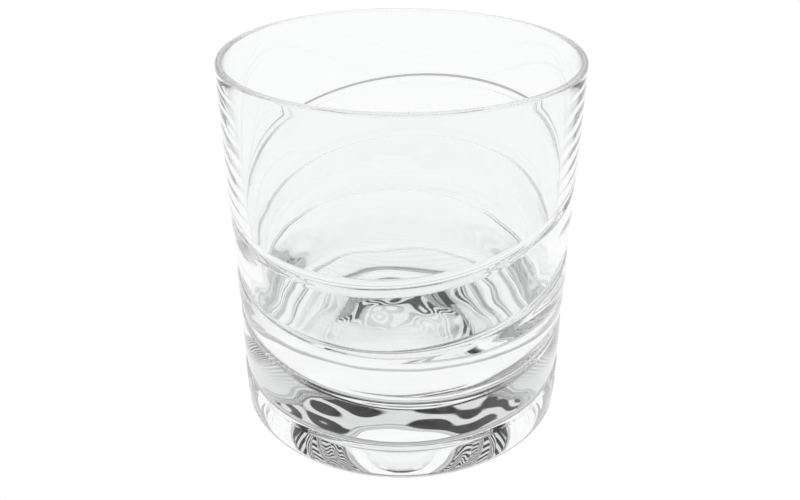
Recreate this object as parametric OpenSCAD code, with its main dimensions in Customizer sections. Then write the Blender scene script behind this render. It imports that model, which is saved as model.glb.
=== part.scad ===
// Double old-fashioned whiskey tumbler, pressed in one piece from clear glass.
// The wall is plain under the rim. Below it, four narrow ring grooves part gently swollen bands.
// Each groove lies in its own tilted plane. The top one is the steepest and the lowest is
// nearly level, above a plain heel band. The glass under the deep, rounded bowl is thick.
// Origin: centre of the resting face. +Z is up.

/* [Overall size] */
// Outer diameter at the rim
rim_d = 85; // [80:1:90]
// Outer diameter at the heel
heel_d = 83.6; // [82:0.2:84.6]
// Height from the resting face to the top of the rim
height = 91.8; // [88:0.1:98]

/* [Rim] */
// Thickness of the wall at the rim
rim_wall = 1.8; // [1.6:0.1:2.4]

/* [Bowl] */
// Thickness of the wall where the bowl starts to round in
low_wall = 3.4; // [3:0.1:4]
// Thickness of the glass under the middle of the bowl
floor_t = 12; // [9:0.5:16]
// Height of the rounded bottom of the bowl, half of an ellipse in section
bowl_round_h = 26; // [20:1:32]

/* [Heel] */
// Radius of the rounded edge between the heel and the underside
heel_edge_r = 1.6; // [1:0.1:2.5]
// Diameter of the shallow recess in the underside
punt_d = 56; // [40:1:64]
// Depth of the recess at its middle
punt_depth = 1.2; // [0.6:0.1:2]

/* [Bands and grooves] */
// Width of a ring groove
groove_w = 2.6; // [2:0.1:3.2]
// Depth of a ring groove below the edges of the bands
groove_depth = 0.4; // [0.2:0.05:0.6]
// How far the middle of a band stands out beyond its edges
band_crown = 0.4; // [0.3:0.05:0.6]

/* [First groove, the top one] */
// Mean height of the first groove
groove_1_z = 62.5; // [61.5:0.1:63.5]
// Rise of the first groove above its mean height at its highest side
groove_1_rise = 10.4; // [8:0.1:11]
// Direction of the first groove's highest side, as an angle from +X
groove_1_high = 67; // [60:1:75]

/* [Second groove] */
// Mean height of the second groove
groove_2_z = 45.2; // [44.2:0.1:46.2]
// Rise of the second groove above its mean height at its highest side
groove_2_rise = 9.9; // [8:0.1:11]
// Direction of the second groove's highest side, as an angle from +X
groove_2_high = 74; // [66:1:82]

/* [Third groove] */
// Mean height of the third groove
groove_3_z = 30; // [29:0.1:31]
// Rise of the third groove above its mean height at its highest side
groove_3_rise = 7.4; // [6:0.1:9]
// Direction of the third groove's highest side, as an angle from +X
groove_3_high = 102; // [95:1:110]

/* [Fourth groove, above the heel] */
// Mean height of the fourth groove
groove_4_z = 12.4; // [11.8:0.1:13]
// Rise of the fourth groove above its mean height at its highest side
groove_4_rise = 2.6; // [1:0.1:4]
// Direction of the fourth groove's highest side, as an angle from +X
groove_4_high = 85; // [60:1:110]

/* [Hidden] */
$fn = 180;

rim_r = rim_d / 2;
heel_r = heel_d / 2;
lip_r = rim_wall / 2;
lip_z = height - lip_r;
bowl_r = heel_r - low_wall;
bowl_z = floor_t + bowl_round_h;
// A sphere of this radius cuts the recess in the underside
punt_r = (pow(punt_d / 2, 2) + pow(punt_depth, 2)) / (2 * punt_depth);
// Mean height, rise and highest direction of each groove, from the lowest up
grooves = [
    [groove_4_z, groove_4_rise, groove_4_high],
    [groove_3_z, groove_3_rise, groove_3_high],
    [groove_2_z, groove_2_rise, groove_2_high],
    [groove_1_z, groove_1_rise, groove_1_high]
];
last = len(grooves) - 1;
// Flat sides round the outer wall, and steps along each part of its section
wall_sides = 120;
groove_steps = 2;
band_steps = 4;
edge_steps = 4;
arc_steps = 16;
// The bowl's lip stops short of the rounded top by this angle, which leaves a thin flat
lip_stop = 10;
clearance = 1;

// Radius of the plain outer wall at height z
function wall_r(z) = heel_r + (rim_r - heel_r) * z / height;

// Height of the middle of a groove in direction a
function groove_z(groove, a) = groove[0] + groove[1] * cos(a - groove[2]);

// Rows across a groove in direction a, up from its lower shoulder. A shoulder is the edge of
// a band, or lies on the plain wall below the lowest groove and above the top one.
function groove_rows(i, a) = [
    for (j = [-groove_steps : groove_steps])
        let (t = j / groove_steps, z = groove_z(grooves[i], a) + t * groove_w / 2)
        let (plain = (i == 0 && t < 0) || (i == last && t > 0))
        let (shoulder = plain ? 0 : -band_crown)
        let (bottom = -band_crown - groove_depth)
        [wall_r(z) + bottom + (shoulder - bottom) * t * t, z]
];

// Rows between the shoulders of a swollen band, above groove i in direction a
function band_rows(i, a) = [
    for (j = [1 : band_steps - 1])
        let (t = j / band_steps)
        let (low = groove_z(grooves[i], a) + groove_w / 2)
        let (high = groove_z(grooves[i + 1], a) - groove_w / 2)
        let (z = low + (high - low) * t)
        [wall_r(z) - band_crown * pow(2 * t - 1, 2), z]
];

// Outer section in direction a, from the underside to the crown of the lip
function outer_section(a) = concat(
    [for (i = [0 : edge_steps])
        let (t = 90 * i / edge_steps)
        [heel_r - heel_edge_r * (1 - sin(t)), heel_edge_r * (1 - cos(t))]],
    [for (i = [0 : last], row = concat(groove_rows(i, a), i < last ? band_rows(i, a) : []))
        row],
    [for (i = [0 : edge_steps])
        let (t = 90 * i / edge_steps)
        [rim_r - lip_r + lip_r * cos(t), lip_z + lip_r * sin(t)]]
);

// Solid bounded by the outer wall, with a flat top and bottom
module outer_form() {
    sections = [for (k = [0 : wall_sides - 1])
        let (a = 360 * k / wall_sides)
        [for (p = outer_section(a)) [p[0] * cos(a), p[0] * sin(a), p[1]]]];
    rows = len(sections[0]);
    points = [for (section = sections, p = section) p];
    sides = [for (k = [0 : wall_sides - 1], j = [0 : rows - 2])
        let (here = k * rows + j, next = (k + 1) % wall_sides * rows + j)
        each [[here, here + 1, next + 1], [here, next + 1, next]]];
    bottom = [for (k = [0 : wall_sides - 1]) k * rows];
    top = [for (k = [wall_sides - 1 : -1 : 0]) k * rows + rows - 1];
    polyhedron(points = points, faces = concat(sides, [bottom, top]));
}

// Inside of the bowl, from the middle of its floor up to the inner half of the lip
module bowl_cutter() {
    rotate_extrude()
        polygon(concat(
            [for (i = [0 : arc_steps])
                let (t = 90 * i / arc_steps)
                [bowl_r * sin(t), bowl_z - bowl_round_h * cos(t)]],
            [for (i = [0 : arc_steps])
                let (t = (90 - lip_stop) * i / arc_steps)
                [rim_r - lip_r - lip_r * cos(t), lip_z + lip_r * sin(t)]],
            [[rim_r - lip_r - lip_r * sin(lip_stop), height + clearance],
             [0, height + clearance]]
        ));
}

module punt_cutter() {
    translate([0, 0, punt_depth - punt_r])
        sphere(r = punt_r);
}

module tumbler_body() {
    color("white", 0.35)
        difference() {
            outer_form();
            bowl_cutter();
            punt_cutter();
        }
}

tumbler_body();
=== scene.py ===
import math

import bmesh
import bpy
import numpy as np
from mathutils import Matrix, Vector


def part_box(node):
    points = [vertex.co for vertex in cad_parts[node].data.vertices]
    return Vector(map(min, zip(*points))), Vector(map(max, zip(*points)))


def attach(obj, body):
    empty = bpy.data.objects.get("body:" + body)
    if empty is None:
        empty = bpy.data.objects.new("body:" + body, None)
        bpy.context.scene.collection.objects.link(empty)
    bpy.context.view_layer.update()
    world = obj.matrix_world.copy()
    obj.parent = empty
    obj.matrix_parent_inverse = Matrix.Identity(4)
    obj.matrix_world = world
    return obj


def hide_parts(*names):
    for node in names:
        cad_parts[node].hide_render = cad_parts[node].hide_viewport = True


# A clear pressed-glass whiskey tumbler on a pale floor in soft studio light.
# The glass is one closed mesh: a grid of rows (underside, heel, ringed wall, plain wall,
# lip, bowl) by azimuth steps, closed by one point at each end of the grid.
# Lengths of the glass are in millimetres and become metres in glass_mesh.

MM = 0.001

# Ring grooves, from the lowest up: mean height, rise to the highest side, its direction.
GROOVES = [(12.4, 2.6, 85.0), (30.0, 7.4, 102.0), (45.2, 9.9, 74.0), (62.5, 10.4, 67.0)]
GROOVE_WIDTH = 2.6
GROOVE_DEPTH = 0.4
BAND_CROWN = 0.4

# Wall, lip and bowl.
HEEL_R = 41.8
LIP_WALL = 1.8
LOW_WALL = 3.4
BOWL_FLOOR_Z = 12.0
BOWL_CORNER_H = 26.0

# Heel and underside.
HEEL_EDGE_R = 1.6
PUNT_R = 28.0
PUNT_H = 1.2

# Depth of the ripple in the fire-polished surfaces, outside and in the bowl. In the bowl it
# fades out towards the lip and the middle, and it is turned and stretched so
# that the two surfaces don't match.
RIPPLE = 0.2
RIPPLE_BOWL = 0.1
RIPPLE_BOWL_TURN = 1.3
RIPPLE_BOWL_STRETCH = 1.1
LIP_FADE = 25.0
MIDDLE_FADE = 12.0

# Mesh density: steps round the glass, and rows along each part of its section.
AZIMUTH_STEPS = 288
GROOVE_ROWS = 13
BAND_ROWS = 18
PLAIN_ROWS = 24
RECESS_ROWS = 20
FOOT_ROWS = 6
EDGE_ROWS = 8
LIP_ROWS = 17
BOWL_WALL_ROWS = 24
BOWL_ROUND_ROWS = 56

# Floor and glass.
FLOOR_GAP = 0.2
FLOOR_SIDE = 12.0
FLOOR_WHITE = 0.2
FLOOR_GLOW = 0.94
GLASS_TINT = (0.95, 0.955, 0.955, 1.0)
GLASS_IOR = 1.52
GLASS_BOUNCES = 32
GLOSSY_BOUNCES = 24
DIFFUSE_BOUNCES = 4

# The room, by direction. Each card is an azimuth, a half width, a lowest and a highest
# elevation in degrees, and a brightness: a grey horizon all round and a black card behind.
SKY_WHITE = 0.75
CARD_SOFT = 0.02
CARDS = [
    (0.0, 180.0, -2.0, 14.0, 0.5),
    (0.0, 40.0, 48.0, 56.0, 0.0),
]

# Ceiling panels: their pitch and shift on a plane one unit up, the dark seam's half width and
# its soft edge as shares of a panel, its brightness, and the upward part of a direction at
# which seams start and are full. UP_LEAST keeps the plane's distance from growing without end.
PANEL_PITCH = 0.1
PANEL_SHIFT = 0.1
SEAM_HALF = 0.2
SEAM_OUTER = 0.32
SEAM_VALUE = 0.0
SEAM_START = 0.3
SEAM_FULL = 0.5
UP_LEAST = 0.05

# Camera: a normal lens, a little above the rim and looking down.
CAMERA_AT = (0.0, -0.20396, 0.14975)
CAMERA_TILT = math.radians(61.66)
CAMERA_YAW = math.radians(0.1)
CAMERA_LENS = 40.47
CAMERA_SENSOR = 36.0


def smoothstep(x, low, high):
    """0 below low, 1 above high, and a smooth rise between."""
    t = np.clip((x - low) / (high - low), 0, 1)
    return t * t * (3 - 2 * t)


def ripple(azimuth, z):
    """A gentle unevenness between -1 and 0, the same each run."""
    a = np.sin(5 * azimuth + 0.31 * z + 0.7) * np.cos(0.23 * z + 2 * azimuth)
    b = np.sin(11 * azimuth - 0.19 * z + 1.9) * np.cos(0.41 * z - 3 * azimuth + 0.4)
    c = np.sin(17 * azimuth + 0.47 * z + 3.1)
    return (a + 0.6 * b + 0.3 * c) / 3.8 - 0.5


class Outline:
    """The glass's outer sizes in millimetres, from the CAD node's box."""

    def __init__(self, node):
        low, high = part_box(node)
        self.height = high.z / MM
        self.rim_r = high.x / MM
        self.lip_r = LIP_WALL / 2
        self.lip_z = self.height - self.lip_r
        self.lip_mid_r = self.rim_r - self.lip_r
        self.bowl_r = HEEL_R - LOW_WALL
        self.bowl_z = BOWL_FLOOR_Z + BOWL_CORNER_H

    def wall(self, z):
        """The plain outer radius at height z."""
        return HEEL_R + (self.rim_r - HEEL_R) * z / self.height


def underside_rows():
    """From the shallow recess in the middle out to the heel's edge."""
    recess = np.linspace(0, PUNT_R, RECESS_ROWS)[1:]
    flat = np.linspace(PUNT_R, HEEL_R - HEEL_EDGE_R, FOOT_ROWS)[1:-1]
    r = np.concatenate([recess, flat])
    z = PUNT_H * np.clip(1 - (r / PUNT_R) ** 2, 0, 1)
    return r, z


def heel_edge_rows():
    """The rounded bottom edge of the heel."""
    a = np.linspace(0, np.pi / 2, EDGE_ROWS)
    return HEEL_R - HEEL_EDGE_R * (1 - np.sin(a)), HEEL_EDGE_R * (1 - np.cos(a))


def groove_line(index, azimuth):
    """Height of the middle of a groove all the way round."""
    mean, rise, high = GROOVES[index]
    return mean + rise * np.cos(azimuth - math.radians(high))


def groove_rows(outline, index, azimuth):
    """Rows across a rounded groove, between its shoulders on the bands or the plain wall."""
    t = np.linspace(-1, 1, GROOVE_ROWS)
    z = groove_line(index, azimuth)[:, None] + t * GROOVE_WIDTH / 2
    lowest = index == 0
    highest = index == len(GROOVES) - 1
    plain = (lowest & (t < 0)) | (highest & (t > 0))
    shoulder = np.where(plain, 0.0, -BAND_CROWN)
    bottom = -BAND_CROWN - GROOVE_DEPTH
    return outline.wall(z) + bottom + (shoulder - bottom) * t * t, z


def band_rows(outline, index, azimuth):
    """Rows between the shoulders of the swollen band above a groove."""
    t = np.linspace(0, 1, BAND_ROWS)[1:-1]
    low = groove_line(index, azimuth)[:, None] + GROOVE_WIDTH / 2
    high = groove_line(index + 1, azimuth)[:, None] - GROOVE_WIDTH / 2
    z = low + (high - low) * t
    uneven = RIPPLE * ripple(azimuth[:, None], z) * 4 * t * (1 - t)
    return outline.wall(z) - BAND_CROWN * (2 * t - 1) ** 2 + uneven, z


def plain_rows(outline, start_z):
    """The plain wall from the top groove up to the lip."""
    share = np.linspace(0, 1, PLAIN_ROWS)[1:-1]
    z = start_z[:, None] + (outline.lip_z - start_z)[:, None] * share
    return outline.wall(z), z


def lip_rows(outline):
    """The rounded lip, from the outside over the top to the inside."""
    a = np.linspace(0, np.pi, LIP_ROWS)
    r = outline.lip_mid_r + outline.lip_r * np.cos(a)
    return r, outline.lip_z + outline.lip_r * np.sin(a)


def bowl_rows(outline, azimuth):
    """The inner wall down to the deep elliptical floor."""
    wall_z = np.linspace(outline.lip_z, outline.bowl_z, BOWL_WALL_ROWS)[1:]
    share = (outline.lip_z - wall_z) / (outline.lip_z - outline.bowl_z)
    top_r = outline.lip_mid_r - outline.lip_r
    a = np.linspace(0, np.pi / 2, BOWL_ROUND_ROWS)[1:-1]
    r = np.concatenate([top_r + (outline.bowl_r - top_r) * share, outline.bowl_r * np.cos(a)])
    z = np.concatenate([wall_z, outline.bowl_z - BOWL_CORNER_H * np.sin(a)])
    fade = smoothstep(outline.lip_z - z, 0.0, LIP_FADE) * smoothstep(r, 0.0, MIDDLE_FADE)
    uneven = ripple(azimuth[:, None] + RIPPLE_BOWL_TURN, z * RIPPLE_BOWL_STRETCH)
    return r + RIPPLE_BOWL * uneven * fade, z


def glass_mesh(outline):
    """The whole glass as one closed mesh."""
    azimuth = np.linspace(0, 2 * np.pi, AZIMUTH_STEPS, endpoint=False)
    parts = [underside_rows(), heel_edge_rows()]
    for index in range(len(GROOVES)):
        parts.append(groove_rows(outline, index, azimuth))
        if index < len(GROOVES) - 1:
            parts.append(band_rows(outline, index, azimuth))
    parts.append(plain_rows(outline, parts[-1][1][:, -1]))
    parts += [lip_rows(outline), bowl_rows(outline, azimuth)]
    radius = np.hstack([np.broadcast_to(r, (AZIMUTH_STEPS, r.shape[-1])) for r, z in parts])
    height = np.hstack([np.broadcast_to(z, (AZIMUTH_STEPS, z.shape[-1])) for r, z in parts])
    x = radius * np.cos(azimuth)[:, None]
    y = radius * np.sin(azimuth)[:, None]
    points = np.stack([x, y, height], axis=-1).reshape(-1, 3)
    points = np.vstack([points, [[0, 0, PUNT_H], [0, 0, BOWL_FLOOR_Z]]]) * MM
    mesh = bpy.data.meshes.new("glass_tumbler")
    mesh.from_pydata(points.tolist(), [], grid_faces(AZIMUTH_STEPS, radius.shape[1]))
    solid = bmesh.new()
    solid.from_mesh(mesh)
    bmesh.ops.recalc_face_normals(solid, faces=solid.faces)
    solid.to_mesh(mesh)
    solid.free()
    mesh.shade_smooth()
    return mesh


def grid_faces(steps, rows):
    """Quads round a grid of steps by rows, and a fan of triangles at either end."""
    faces = []
    under = steps * rows
    floor = under + 1
    for i in range(steps):
        a = i * rows
        b = (i + 1) % steps * rows
        faces += [(a + j, b + j, b + j + 1, a + j + 1) for j in range(rows - 1)]
        faces.append((under, b, a))
        faces.append((floor, a + rows - 1, b + rows - 1))
    return faces


def glass_material():
    """Clear, polished soda-lime glass."""
    material = bpy.data.materials.new("clear_glass")
    material.use_nodes = True
    shader = material.node_tree.nodes["Principled BSDF"]
    shader.inputs["Base Color"].default_value = GLASS_TINT
    shader.inputs["Roughness"].default_value = 0.0
    shader.inputs["IOR"].default_value = GLASS_IOR
    shader.inputs["Transmission Weight"].default_value = 1.0
    return material


def floor_material():
    """A matt white table, lit evenly from inside as a light table is."""
    material = bpy.data.materials.new("floor_white")
    material.use_nodes = True
    shader = material.node_tree.nodes["Principled BSDF"]
    shader.inputs["Base Color"].default_value = (FLOOR_WHITE, FLOOR_WHITE, FLOOR_WHITE, 1.0)
    shader.inputs["Roughness"].default_value = 0.9
    shader.inputs["Specular IOR Level"].default_value = 0.0
    shader.inputs["Emission Color"].default_value = (1.0, 1.0, 1.0, 1.0)
    shader.inputs["Emission Strength"].default_value = FLOOR_GLOW
    return material


def add_camera():
    """The camera, at the photograph's angle."""
    data = bpy.data.cameras.new("camera")
    data.lens = CAMERA_LENS
    data.sensor_width = CAMERA_SENSOR
    data.clip_start = 0.01
    camera = bpy.data.objects.new("camera", data)
    camera.location = CAMERA_AT
    camera.rotation_euler = (CAMERA_TILT, 0.0, CAMERA_YAW)
    bpy.context.scene.collection.objects.link(camera)
    bpy.context.scene.camera = camera


def add_glass():
    """The glass stands for the CAD body and rides with it."""
    glass = bpy.data.objects.new("glass_tumbler", glass_mesh(Outline("tumbler_body")))
    glass.data.materials.append(glass_material())
    bpy.context.scene.collection.objects.link(glass)
    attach(glass, "root")
    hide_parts("tumbler_body")


def add_floor():
    """A wide pale floor, a hair below the glass so that the two surfaces stay apart."""
    bpy.ops.mesh.primitive_plane_add(size=FLOOR_SIDE, location=(0, 0, -FLOOR_GAP * MM))
    floor = bpy.context.object
    floor.name = "floor"
    floor.data.materials.append(floor_material())


class Surround:
    """The studio round the glass: a soft white room with darker parts, by direction."""

    def __init__(self):
        world = bpy.data.worlds.new("studio")
        world.use_nodes = True
        bpy.context.scene.world = world
        self.tree = world.node_tree
        self.direction = self.node("ShaderNodeTexCoord").outputs["Generated"]
        split = self.node("ShaderNodeSeparateXYZ")
        self.tree.links.new(self.direction, split.inputs[0])
        self.up = split.outputs["Z"]
        flat = self.node("ShaderNodeVectorMath")
        flat.operation = "MULTIPLY"
        self.tree.links.new(self.direction, flat.inputs[0])
        flat.inputs[1].default_value = (1.0, 1.0, 0.0)
        unit = self.node("ShaderNodeVectorMath")
        unit.operation = "NORMALIZE"
        self.tree.links.new(flat.outputs[0], unit.inputs[0])
        self.level = unit.outputs[0]
        self.value = self.number(SKY_WHITE)

    def node(self, kind):
        """A new node of that kind."""
        return self.tree.nodes.new(kind)

    def number(self, value):
        """A node's output that holds one number."""
        node = self.node("ShaderNodeValue")
        node.outputs[0].default_value = value
        return node.outputs[0]

    def rise(self, source, low, high):
        """0 to 1 as source goes from low to high, smoothly."""
        node = self.node("ShaderNodeMapRange")
        node.interpolation_type = "SMOOTHSTEP"
        self.tree.links.new(source, node.inputs["Value"])
        node.inputs["From Min"].default_value = low
        node.inputs["From Max"].default_value = high
        return node.outputs["Result"]

    def blend(self, amount, value):
        """Moves the surround towards value where amount is 1."""
        node = self.node("ShaderNodeMix")
        self.tree.links.new(amount, node.inputs["Factor"])
        self.tree.links.new(self.value, node.inputs["A"])
        node.inputs["B"].default_value = value
        self.value = node.outputs["Result"]

    def window(self, source, low, high, soft):
        """1 where source lies between low and high, falling to 0 over soft either side."""
        both = self.node("ShaderNodeMath")
        both.operation = "MULTIPLY"
        self.tree.links.new(self.rise(source, low - soft, low), both.inputs[0])
        self.tree.links.new(self.rise(source, high + soft, high), both.inputs[1])
        return both.outputs[0]

    def card(self, azimuth, half, low, high, value):
        """A card in the sky: azimuth 0 is behind the glass and 90 to its right, in degrees."""
        sines = [math.sin(math.radians(e)) for e in (low, high)]
        upright = self.window(self.up, sines[0], sines[1], CARD_SOFT)
        turn = math.radians(azimuth)
        facing = self.node("ShaderNodeVectorMath")
        facing.operation = "DOT_PRODUCT"
        self.tree.links.new(self.level, facing.inputs[0])
        facing.inputs[1].default_value = (math.sin(turn), math.cos(turn), 0.0)
        edge = math.cos(math.radians(half))
        across = self.rise(facing.outputs["Value"], edge - CARD_SOFT, edge)
        both = self.node("ShaderNodeMath")
        both.operation = "MULTIPLY"
        self.tree.links.new(upright, both.inputs[0])
        self.tree.links.new(across, both.inputs[1])
        self.blend(both.outputs[0], value)

    def seams(self):
        """Dark gaps between the ceiling's light panels, running from left to right."""
        split = self.node("ShaderNodeSeparateXYZ")
        self.tree.links.new(self.direction, split.inputs[0])
        along = self.math("DIVIDE", split.outputs["Y"], self.math("MAXIMUM", self.up, UP_LEAST))
        place = self.math("ADD", self.math("MULTIPLY", along, 1 / PANEL_PITCH), PANEL_SHIFT)
        off = self.math("ABSOLUTE", self.math("SUBTRACT", self.math("FRACT", place, 0.0), 0.5), 0.0)
        gap = self.rise(off, SEAM_OUTER, SEAM_HALF)
        fade = self.rise(self.up, SEAM_START, SEAM_FULL)
        self.blend(self.math("MULTIPLY", gap, fade), SEAM_VALUE)

    def math(self, operation, a, b):
        """A math node's output; b is a number or another output."""
        node = self.node("ShaderNodeMath")
        node.operation = operation
        for slot, value in enumerate((a, b)):
            if isinstance(value, float):
                node.inputs[slot].default_value = value
            else:
                self.tree.links.new(value, node.inputs[slot])
        return node.outputs[0]

    def close(self):
        """Feeds the result to the background."""
        background = self.tree.nodes["Background"]
        self.tree.links.new(self.value, background.inputs["Color"])


def light_studio():
    """The surround: its cards, the ceiling's seams and the background."""
    surround = Surround()
    for card in CARDS:
        surround.card(*card)
    surround.seams()
    surround.close()


def set_look():
    """Enough light bounces for thick glass, and plain tones."""
    scene = bpy.context.scene
    scene.cycles.max_bounces = GLASS_BOUNCES
    scene.cycles.transmission_bounces = GLASS_BOUNCES
    scene.cycles.glossy_bounces = GLOSSY_BOUNCES
    scene.cycles.diffuse_bounces = DIFFUSE_BOUNCES
    scene.view_settings.view_transform = "Standard"


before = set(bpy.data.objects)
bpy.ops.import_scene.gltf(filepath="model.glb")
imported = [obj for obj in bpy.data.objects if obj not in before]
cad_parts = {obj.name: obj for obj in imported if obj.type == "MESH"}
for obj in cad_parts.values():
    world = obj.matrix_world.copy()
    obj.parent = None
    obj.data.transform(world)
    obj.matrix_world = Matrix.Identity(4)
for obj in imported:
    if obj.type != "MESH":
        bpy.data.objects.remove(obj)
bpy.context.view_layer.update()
add_camera()
add_glass()
add_floor()
light_studio()
set_look()
